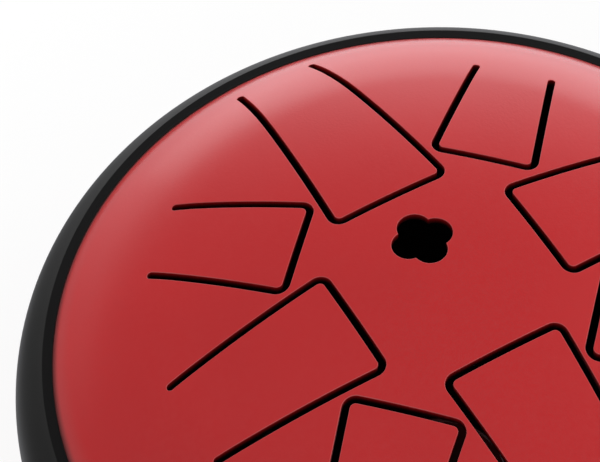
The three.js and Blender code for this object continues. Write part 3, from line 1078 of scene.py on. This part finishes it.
class DRUM_OT_upper_shell(bpy.types.Operator):
    """Builds the domed upper shell with its slots and sound hole"""

    bl_idname = "drum.upper_shell"
    bl_label = "Upper shell"

    HOLE_BEARING = math.pi / 2

    def execute(self, context):
        shells = context.scene.drum_shells
        section = DomeSection(shells)
        mesh = PieceMesh()
        cuts = [TonguePlan(number, shells).line(False) for number in range(1, TONGUE_COUNT + 1)]
        cuts.append(lobed_cut(shells, self.HOLE_BEARING))
        outline = circle(section.lip_radius, DRUM_FACETS)
        finishes = (PAINT, INSIDE)
        top, under = fill_sheet(mesh, section, outline, cuts, DOME_SPACING, finishes, finishes)
        join_faces(mesh, top, self.rim(section), under)
        piece = mesh.build("dome_shell", SHEET_FINISHES)
        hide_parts("top_shell")
        return {"FINISHED"}

    def rim(self, section):
        """Profile from the lip down the skirt, round the flange and back up inside."""
        centre, _, radius, _ = section.arcs[-1]
        inner = math.asin((section.lip_radius - centre) / (radius - section.sheet))
        flange_top = section.seam + section.sheet
        return [
            *section.bend_profile(0.0, section.lip_angle)[1:],
            (section.skirt_radius, flange_top),
            (section.flange_radius, flange_top),
            (section.flange_radius, section.seam),
            (section.skirt_radius - section.sheet, section.seam),
            *section.bend_profile(section.sheet, inner)[:0:-1],
        ]


class DRUM_OT_tongues(bpy.types.Operator):
    """Builds the eight tongues"""

    bl_idname = "drum.tongues"
    bl_label = "Tongues"

    # Share of a tongue's length, from its root, that bends
    BEND_SHARE = 0.5

    def execute(self, context):
        shells = context.scene.drum_shells
        section = DomeSection(shells)
        for number in range(1, TONGUE_COUNT + 1):
            self.blade(TonguePlan(number, shells), section)
        return {"FINISHED"}

    def blade(self, plan, section):
        """One tongue."""
        mesh = PieceMesh()
        line = plan.line(True)
        finishes = (PAINT, INSIDE)
        top, under = fill_sheet(mesh, section, line.inset, [], DOME_SPACING, finishes, finishes)
        cut_wall(mesh, section, line, top, under, finishes)
        piece = mesh.build(f"blade_{plan.number}", SHEET_FINISHES, ride=False)
        bend_end = plan.root - (plan.root - plan.tip) * self.BEND_SHARE
        plan.place(plan.root, plan.pivot.z)
        plan.place(bend_end, plan.pivot.z)
        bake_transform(piece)
        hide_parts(f"tongue_{plan.number}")


class DRUM_OT_lower_shell(bpy.types.Operator):
    """Builds the lower bowl with its port and the holes for the rivet nuts"""

    bl_idname = "drum.lower_shell"
    bl_label = "Lower shell"

    SPACING = 0.006
    PORT_STEPS = 96
    RIVET_STEPS = 32

    def execute(self, context):
        shells = context.scene.drum_shells
        hardware = context.scene.drum_hardware
        dome = DomeSection(shells)
        section = BaseSection(shells, dome.skirt_radius)
        rivet = hardware.shank_radius + hardware.thread_gap + hardware.rivet_wall
        rivet += context.scene.drum_rubber.gap
        cuts = [round_cut(0, 0, shells.port_radius, shells.port_rounding, self.PORT_STEPS)]
        for x, y in foot_places():
            cuts.append(round_cut(x, y, rivet, shells.cut_rounding, self.RIVET_STEPS))
        mesh = PieceMesh()
        outline = circle(section.base_radius, DRUM_FACETS)
        faces, edges = (INSIDE, PAINT), (CUT, CUT)
        top, under = fill_sheet(mesh, section, outline, cuts, self.SPACING, faces, edges)
        inner = section.side(section.sheet, 0.0)[1:]
        outer = section.side(0.0, 0.0)[:0:-1]
        lower = section.seam - section.sheet
        brim = [
            (dome.skirt_radius - section.sheet, section.seam),
            (dome.flange_radius, section.seam),
            (dome.flange_radius, lower),
            (dome.skirt_radius, lower),
        ]
        join_faces(mesh, top, [*inner, *brim, *outer], under, painted_from=len(inner) + 1)
        piece = mesh.build("bowl_shell", SHEET_FINISHES)
        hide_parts("bottom_shell")
        return {"FINISHED"}


class DRUM_OT_seam_weld(bpy.types.Operator):
    """Builds the rippled weld round the two flanges"""

    bl_idname = "drum.seam_weld"
    bl_label = "Seam weld"

    FACETS = 1440
    BEAD_STEPS = 8

    def execute(self, context):
        shells = context.scene.drum_shells
        low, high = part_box("seam_weld")
        inner = DomeSection(shells).flange_radius + context.scene.drum_rubber.gap
        middle = (low.z + high.z) / 2
        half = (high.z - low.z) / 2
        proud = high.x - inner
        turns = np.linspace(0, 2 * math.pi, self.FACETS, endpoint=False)
        count = round(2 * math.pi * inner / shells.ripple_pitch)
        wave = shells.ripple_depth * (0.5 + 0.5 * np.cos(count * turns))
        spokes = np.column_stack([np.cos(turns), np.sin(turns)])
        mesh = PieceMesh()
        rows = []
        for angle in np.linspace(-math.pi / 2, math.pi / 2, self.BEAD_STEPS + 1):
            radius = inner + proud * math.cos(angle) - wave * math.cos(angle)
            height = np.full(self.FACETS, middle + half * math.sin(angle))
            points = np.column_stack([spokes * radius[:, None], height])
            rows.append(mesh.row(points, np.zeros_like(points)))
        for first, second in zip(rows, [*rows[1:], rows[0]]):
            mesh.strip(first, second)
        piece = mesh.build("weld_bead", [WELD])
        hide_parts("seam_weld")
        return {"FINISHED"}


class DRUM_OT_rim_ring(bpy.types.Operator):
    """Builds the rubber ring that grips both flanges"""

    bl_idname = "drum.rim_ring"
    bl_label = "Rim ring"

    # The ring follows every so many points of the bowl's side
    LOWER_STRIDE = 4

    def execute(self, context):
        shells = context.scene.drum_shells
        sizes = context.scene.drum_rubber
        dome = DomeSection(shells)
        base = BaseSection(shells, dome.skirt_radius)
        low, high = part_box("rim_ring")
        middle = (dome.seam + base.seam) / 2
        upper_bend = dome.bend_profile(-sizes.lip_gap, dome.lip_angle)
        lip_inner = upper_bend[0][0] - (high.z - upper_bend[0][1]) / math.tan(dome.lip_angle)
        lower_side = base.side(-sizes.gap, base.angle_at(low.z))[:: self.LOWER_STRIDE]
        lower_lip = lower_side[0][0] + sizes.lip_width
        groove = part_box("seam_weld")[1].x + sizes.gap
        groove_top = dome.seam + dome.sheet + sizes.gap
        groove_bottom = base.seam - base.sheet - sizes.gap
        side = dome.skirt_radius + sizes.gap
        widest = high.x - sizes.bulge_inset
        upper_lip = dome.lip_radius + sizes.lip_width
        inside = [
            *upper_bend[1:],
            (side, groove_top),
            (groove, groove_top),
            (groove, groove_bottom),
            (side, groove_bottom),
            *lower_side[:0:-1],
        ]
        corners = [
            (lower_lip, low.z, sizes.crease),
            *self.shoulder(sizes, widest, middle, lower_lip, low.z)[-2::-1],
            *self.shoulder(sizes, widest, middle, upper_lip, high.z)[:-1],
            (upper_lip, high.z, sizes.crease),
            (lip_inner, high.z, sizes.lip_edge),
            *even_corners(inside),
            (lower_side[0][0], low.z, sizes.lip_edge),
        ]
        piece = turned_mesh(corners, DRUM_FACETS).build("rubber_ring", [RUBBER])
        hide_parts("rim_ring")
        return {"FINISHED"}

    def shoulder(self, sizes, widest, middle, crease_radius, crease_height):
        """The bulge's arc from its upright side to a crease."""
        swell = widest - crease_radius
        rise = crease_height - middle
        radius = min(sizes.bulge_round, (rise * rise + swell * swell) / (2 * swell))
        climb = math.copysign(math.sqrt(swell * (2 * radius - swell)), rise)
        level = crease_height - climb
        end = math.pi / 2 - math.asin(climb / radius)
        points = arc_profile(widest - radius, level, radius, math.pi / 2, end, ARC_STEPS)
        return even_corners(points)


class DRUM_OT_feet(bpy.types.Operator):
    """Builds the four rubber feet"""

    bl_idname = "drum.feet"
    bl_label = "Feet"

    # A foot's outer edges are this many times rounder than its inner ones
    EDGE_RATIO = 3

    def execute(self, context):
        sizes = context.scene.drum_rubber
        hardware = context.scene.drum_hardware
        shank = hardware.shank_radius + sizes.gap
        edge = sizes.foot_edge
        small = edge / self.EDGE_RATIO
        for number, centre in enumerate(foot_places(), 1):
            low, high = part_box(f"foot_{number}")
            radius = half_width(f"foot_{number}")
            recess = half_width(f"foot_washer_{number}") + sizes.gap
            flange = half_width(f"rivet_nut_{number}") + sizes.gap
            web_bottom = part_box(f"foot_washer_{number}")[1].z + hardware.seat
            web_top = web_bottom + sizes.foot_web
            corners = [
                (recess, low.z, small),
                (radius - sizes.foot_taper, low.z, edge),
                (radius, high.z, edge),
                (flange, high.z, small),
                (flange, web_top, small),
                (shank, web_top, small),
                (shank, web_bottom, small),
                (recess, web_bottom, small),
            ]
            mesh = turned_mesh(corners, SMALL_FACETS, centre)
            piece = mesh.build(f"rubber_foot_{number}", [RUBBER])
            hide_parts(f"foot_{number}")
        return {"FINISHED"}


class DRUM_OT_fastenings(bpy.types.Operator):
    """Builds the screws, washers and rivet nuts that hold the feet"""

    bl_idname = "drum.fastenings"
    bl_label = "Fastenings"

    # Steps over the edge of a screw's head and from the middle of its face to the rim
    HEAD_STEPS = 6
    FACE_STEPS = 4

    def execute(self, context):
        sizes = context.scene.drum_hardware
        gap = context.scene.drum_rubber.gap
        base_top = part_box("bottom_shell")[0].z + context.scene.drum_shells.bowl_sheet
        for number, centre in enumerate(foot_places(), 1):
            pieces = {
                f"foot_washer_{number}": self.washer(number, centre, sizes, gap),
                f"foot_screw_{number}": self.screw(number, centre, sizes),
                f"rivet_nut_{number}": self.rivet_nut(number, centre, sizes, base_top),
            }
            for node, piece in pieces.items():
                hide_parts(node)
        return {"FINISHED"}

    def washer(self, number, centre, sizes, gap):
        """A plain washer."""
        node = f"foot_washer_{number}"
        low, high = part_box(node)
        inner, outer = sizes.shank_radius + gap, half_width(node)
        section = [(inner, low.z), (outer, low.z), (outer, high.z), (inner, high.z)]
        corners = even_corners(section, sizes.edge)
        return turned_mesh(corners, SMALL_FACETS, centre).build(f"washer_{number}", [STEEL])

    def screw(self, number, centre, sizes):
        """A pan-head screw with a cross recess, head down."""
        node = f"foot_screw_{number}"
        low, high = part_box(node)
        head = half_width(node)
        head_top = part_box(f"foot_washer_{number}")[0].z - sizes.seat
        edge, point, rounding = sizes.edge, sizes.screw_point, sizes.head_round
        shank = sizes.shank_radius
        mouth = head - rounding
        level = low.z + rounding
        profile = [
            *arc_profile(mouth, level, rounding, math.pi, math.pi / 2, self.HEAD_STEPS),
            (head, head_top - edge),
            (head - edge, head_top),
            (shank + edge, head_top),
            (shank, head_top + edge),
            (shank, high.z - point),
            (shank - point, high.z),
        ]
        mesh = PieceMesh()
        rows = turned_rows(mesh, profile, SMALL_FACETS, centre, False)
        mesh.face(rows[-1])
        self.drive_face(mesh, rows[0], mouth, low.z, centre, sizes)
        return mesh.build(f"screw_{number}", [STEEL])

    def drive_face(self, mesh, rim, radius, height, centre, sizes):
        """The head's face inside its rim, with the cross recess sunk in it."""
        reach, half = sizes.recess_reach, sizes.recess_half
        arm = [(reach, -half), (reach, half), (half, half)]
        cross = []
        for quarter in range(4):
            spin = Matrix.Rotation(quarter * math.pi / 2, 2)
            cross += [np.array(spin @ Vector(corner)) for corner in arm]
        cross = np.array(cross)
        loops = [circle(radius, SMALL_FACETS), cross]
        plan, triangles = fill_plan(loops, radius / self.FACE_STEPS)
        face = raised(plan[SMALL_FACETS:] + centre, height)
        numbers = rim + mesh.row(face, [(0.0, 0.0, -1.0)] * len(face))
        for triangle in triangles:
            mesh.face([numbers[corner] for corner in triangle])
        floor = raised(cross * sizes.recess_draft + centre, height + sizes.recess_depth)
        floor_row = mesh.row(floor, np.zeros_like(floor))
        mesh.strip(numbers[SMALL_FACETS:SMALL_FACETS + len(cross)], floor_row)
        mesh.face(floor_row)

    def rivet_nut(self, number, centre, sizes, base_top):
        """A blind rivet nut, set through the base."""
        node = f"rivet_nut_{number}"
        low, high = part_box(node)
        flange = half_width(node)
        bore = sizes.shank_radius + sizes.thread_gap
        body = bore + sizes.rivet_wall
        collar = base_top + sizes.seat
        flange_top = low.z + sizes.flange_thickness
        section = [
            (bore, low.z),
            (flange, low.z),
            (flange, flange_top),
            (body, flange_top),
            (body, collar),
            (body + sizes.collar_width, collar),
            (body, collar + sizes.collar_height),
            (body, high.z),
            (bore, high.z),
        ]
        corners = even_corners(section, sizes.edge)
        return turned_mesh(corners, SMALL_FACETS, centre).build(f"rivet_{number}", [STEEL])


class DRUM_OT_stage(bpy.types.Operator):
    """Sets the pale floor, the soft light and the camera"""

    bl_idname = "drum.stage"
    bl_label = "Stage"

    def execute(self, context):
        stage = context.scene.drum_stage
        context.scene.view_settings.view_transform = "Standard"
        self.floor(context, stage)
        self.world(context, stage)
        for name in LAMPS:
            self.lamp(context, stage, name)
        self.camera(context, stage)
        return {"FINISHED"}

    def floor(self, context, stage):
        """A plain floor that stays white and keeps a soft shadow. It is clear from below."""
        half = stage.floor_half
        mesh = bpy.data.meshes.new("floor")
        corners = [(-half, -half, 0), (half, -half, 0), (half, half, 0), (-half, half, 0)]
        mesh.from_pydata(corners, [], [(0, 1, 2, 3)])
        material, wire = new_material("pale_floor")
        below = wire.node("ShaderNodeNewGeometry", output="Backfacing")
        clear = wire.node("ShaderNodeBsdfTransparent")
        shown = either(wire, below, self.ground(wire, stage), clear)
        wire.node("ShaderNodeOutputMaterial", {}, {"Surface": shown})
        mesh.materials.append(material)
        floor = bpy.data.objects.new("floor", mesh)
        floor.visible_shadow = False
        context.scene.collection.objects.link(floor)

    def ground(self, wire, stage):
        """The floor from above: dark in the drum's shade, white beyond, as the backdrop in reflections."""
        white = tuple(stage.floor)
        spot = object_place(wire)
        distance = vectors(wire, "LENGTH", spot)
        away = smooth_step(wire, distance, stage.shade_inner, stage.shade_outer)
        beneath = smooth_step(wire, distance, stage.shade_inner, stage.base_reach)
        beyond = smooth_step(wire, distance, stage.near_inner, stage.near_outer)
        sight = vectors(wire, "NORMALIZE", vectors(wire, "SUBTRACT", spot, (0, 0, stage.eye)))
        far_glow = self.mirrored_light(wire, sight, stage)
        level = beyond * far_glow + (1 - beyond) * stage.near_glow
        reflected = shaded(wire, stage.backdrop_tint, level)
        mirrored = ray(wire, "Glossy")
        glow = wire.node(
            "ShaderNodeEmission", {}, {"Color": mixed(wire, mirrored, white, reflected)}
        )
        share = ray(wire, "Camera") * stage.floor_glow + mirrored + ray(wire, "Transmission")
        lit = either(wire, share, diffuse(wire, white), glow)
        dim = shaded(wire, stage.floor_dark, 1 - stage.shade_beneath * beneath)
        clear_of_shade = wire.sum("MAXIMUM", away, beneath * mirrored)
        return either(wire, clear_of_shade, diffuse(wire, dim), lit)

    def world(self, context, stage):
        """White behind the drum, even fill light, and reflections that darken overhead."""
        world = bpy.data.worlds.new("studio")
        world.use_nodes = True
        world.node_tree.nodes.clear()
        context.scene.world = world
        wire = Wire(world.node_tree)
        seen = ray(wire, "Camera") + ray(wire, "Transmission")
        sight = wire.node("ShaderNodeTexCoord", output="Generated")
        plain = mixed(wire, seen, (stage.fill, stage.fill, stage.fill, 1), tuple(stage.floor))
        reflected = shaded(wire, stage.backdrop_tint, self.mirrored_light(wire, sight, stage))
        shown = mixed(wire, ray(wire, "Glossy"), plain, reflected)
        backdrop = wire.node("ShaderNodeBackground", {}, {"Color": shown})
        wire.node("ShaderNodeOutputWorld", {}, {"Surface": backdrop})

    def mirrored_light(self, wire, sight, stage):
        """How bright the surroundings look in a reflection that leaves in this direction."""
        ahead = self.towards(wire, sight, stage.back_way)
        backdrop = stage.backdrop * wire.sum("POWER", ahead, stage.backdrop_spread)
        slope = (height_of(wire, sight) - stage.sweep_level) / stage.sweep_height
        fade = wire.sum("POWER", math.e, -1.0 * slope * slope)
        aside = self.towards(wire, sight, stage.sweep_way)
        sweep = stage.sweep * wire.sum("POWER", aside, stage.sweep_spread) * fade
        return wire.sum("MINIMUM", stage.dusk + backdrop + sweep, 1.0)

    def towards(self, wire, sight, way):
        """How far a direction reaches this way, 0 where it leads away."""
        return wire.sum("MAXIMUM", vectors(wire, "DOT_PRODUCT", sight, tuple(way)), 0.0)

    def lamp(self, context, stage, name):
        """A soft lamp that faces the drum. Only the sheen panel shows in reflections."""
        spot = getattr(stage, f"{name}_place")
        lamp = bpy.data.lights.new(name, "AREA")
        lamp.shape = "RECTANGLE"
        lamp.size = getattr(stage, f"{name}_width")
        lamp.size_y = getattr(stage, f"{name}_height")
        lamp.energy = getattr(stage, f"{name}_power")
        made = bpy.data.objects.new(name, lamp)
        context.scene.collection.objects.link(made)
        made.location = spot
        away = Vector(spot) - lip_middle(context)
        made.rotation_euler = away.to_track_quat("Z", "Y").to_euler()
        made.visible_camera = False
        made.visible_glossy = name == "sheen"

    def camera(self, context, stage):
        """The camera, aimed at the middle of the lip circle and then moved across its picture."""
        lens = bpy.data.cameras.new("camera")
        lens.sensor_fit = "HORIZONTAL"
        lens.sensor_width = SENSOR_WIDTH
        lens.lens = stage.lens * MILLIMETRES
        lens.clip_start = CLIP_START
        camera = bpy.data.objects.new("camera", lens)
        context.scene.collection.objects.link(camera)
        azimuth, elevation, roll = stage.azimuth, stage.elevation, stage.roll
        back = Vector((
            math.sin(azimuth) * math.cos(elevation),
            -math.cos(azimuth) * math.cos(elevation),
            math.sin(elevation),
        ))
        level = Vector((math.cos(azimuth), math.sin(azimuth), 0))
        rise = back.cross(level)
        right = math.cos(roll) * level + math.sin(roll) * rise
        up = math.cos(roll) * rise - math.sin(roll) * level
        place = lip_middle(context) + back * stage.distance
        place += right * stage.aim_right + up * stage.aim_up
        turned = Matrix((right, up, back)).transposed().to_4x4()
        camera.matrix_world = Matrix.Translation(place) @ turned
        context.scene.camera = camera


class DRUM_PT_pieces(bpy.types.Panel):
    """The drum's pieces and stage"""

    bl_idname = "DRUM_PT_pieces"
    bl_label = "Tongue drum"
    bl_space_type = "VIEW_3D"
    bl_region_type = "UI"
    bl_category = "Drum"

    def draw(self, context):
        for group in PROPERTIES:
            box = self.layout.box()
            values = getattr(context.scene, group)
            for name in values.__annotations__:
                box.prop(values, name)
        for operator in OPERATORS:
            self.layout.operator(operator.bl_idname)


PROPERTIES = {
    "drum_shells": DrumShells,
    "drum_rubber": DrumRubber,
    "drum_hardware": DrumHardware,
    "drum_finish": DrumFinish,
    "drum_stage": DrumStage,
}
OPERATORS = (
    DRUM_OT_upper_shell,
    DRUM_OT_tongues,
    DRUM_OT_lower_shell,
    DRUM_OT_seam_weld,
    DRUM_OT_rim_ring,
    DRUM_OT_feet,
    DRUM_OT_fastenings,
    DRUM_OT_stage,
)
CLASSES = (*PROPERTIES.values(), *OPERATORS, DRUM_PT_pieces)


def register():
    """Registers the classes and gives the scene its settings."""
    for item in CLASSES:
        bpy.utils.register_class(item)
    for name, group in PROPERTIES.items():
        setattr(bpy.types.Scene, name, PointerProperty(type=group))


def unregister():
    """Takes the settings and classes away again."""
    for name in PROPERTIES:
        delattr(bpy.types.Scene, name)
    for item in reversed(CLASSES):
        bpy.utils.unregister_class(item)


def main():
    """Builds every piece and the stage."""
    register()
    bpy.ops.drum.upper_shell()
    bpy.ops.drum.tongues()
    bpy.ops.drum.lower_shell()
    bpy.ops.drum.seam_weld()
    bpy.ops.drum.rim_ring()
    bpy.ops.drum.feet()
    bpy.ops.drum.fastenings()
    bpy.ops.drum.stage()


if __name__ == "__main__":
    main()
